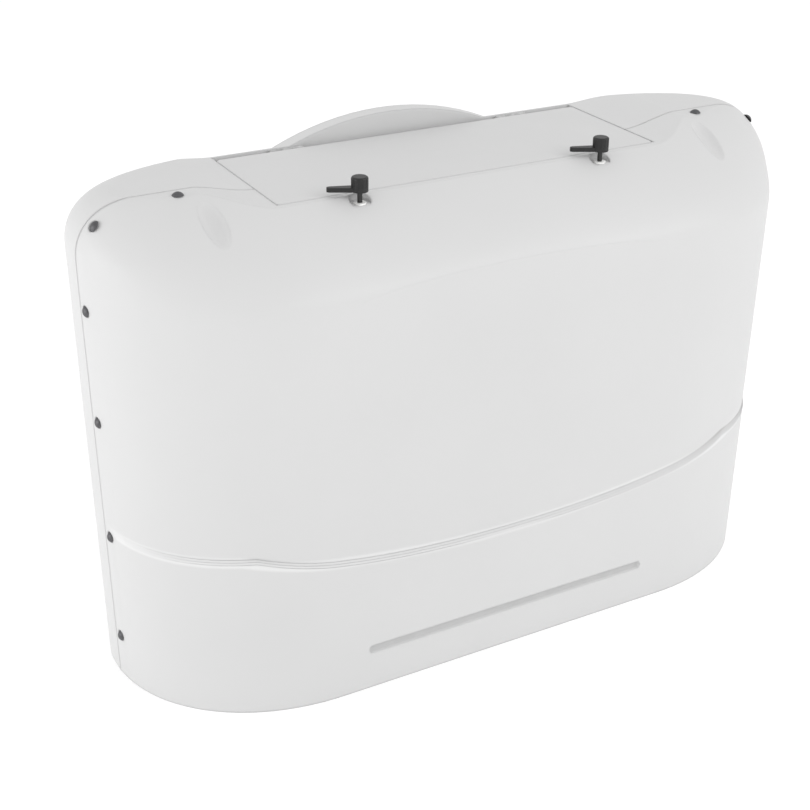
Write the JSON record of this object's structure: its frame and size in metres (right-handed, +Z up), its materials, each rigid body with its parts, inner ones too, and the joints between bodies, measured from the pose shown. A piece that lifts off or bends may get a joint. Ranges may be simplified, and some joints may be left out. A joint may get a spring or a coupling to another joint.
{
  "type": "gas cylinder cover",
  "caption": "White moulded trailer-tongue cover for a pair of gas cylinders: riveted front and rear shells, open below, hinged access lid with black turn-button latches.",
  "frame": {"origin": "centre of the bounding box on the plane of the bottom rim", "axes": "+X along the width to the right as seen from the front, +Y from front to rear, +Z up"},
  "size_m": [0.9634, 0.3346, 0.639],
  "materials": {
    "shell_plastic": "moulded white polyethylene, satin with a faint pebble grain",
    "lid_plastic": "moulded white polyethylene, satin",
    "rivet_dark": "dark grey coated dome rivet",
    "zinc_steel": "zinc plated",
    "foam_seal": "closed-cell foam strip",
    "hinge_white": "white powder coat",
    "knob_black": "moulded black nylon",
    "stem_black": "black oxide",
    "bushing_nylon": "natural nylon"
  },
  "bodies": {
    "cover": {"front_shell": "shell_plastic", "rear_shell": "shell_plastic", "seam_rivets": "rivet_dark", "seam_washers": "zinc_steel", "lid_seal": "foam_seal", "ledge_hinge_rivets": "zinc_steel", "fixed_hinge_leaf_left": "hinge_white", "latch_bushing_left": "bushing_nylon", "latch_washer_left": "zinc_steel", "latch_wave_ring_left": "zinc_steel", "fixed_hinge_leaf_right": "hinge_white", "latch_bushing_right": "bushing_nylon", "latch_washer_right": "zinc_steel", "latch_wave_ring_right": "zinc_steel"},
    "lid": {"access_lid": "lid_plastic", "lid_hinge_screws": "zinc_steel", "lid_hinge_leaf_left": "hinge_white", "lid_hinge_leaf_right": "hinge_white", "hinge_pin_left": "zinc_steel", "hinge_pin_right": "zinc_steel"},
    "latch_left": {"latch_knob_left": "knob_black", "latch_stem_left": "stem_black", "latch_clip_left": "zinc_steel"},
    "latch_right": {"latch_knob_right": "knob_black", "latch_stem_right": "stem_black", "latch_clip_right": "zinc_steel"}
  },
  "joints": [
    {"name": "lid_hinge", "type": "hinge", "parent": "cover", "child": "lid", "pos_m": [0, 0.14025, 0.6092], "axis": [-1, 0, 0], "range_deg": [0, 92]},
    {"name": "latch_left_turn", "type": "hinge", "parent": "cover", "child": "latch_left", "pos_m": [-0.167, -0.06475, 0.604], "axis": [0, 0, 1], "range_deg": [-75, 60]},
    {"name": "latch_right_turn", "type": "hinge", "parent": "cover", "child": "latch_right", "pos_m": [0.167, -0.06475, 0.604], "axis": [0, 0, 1], "range_deg": [-75, 60]}
  ]
}
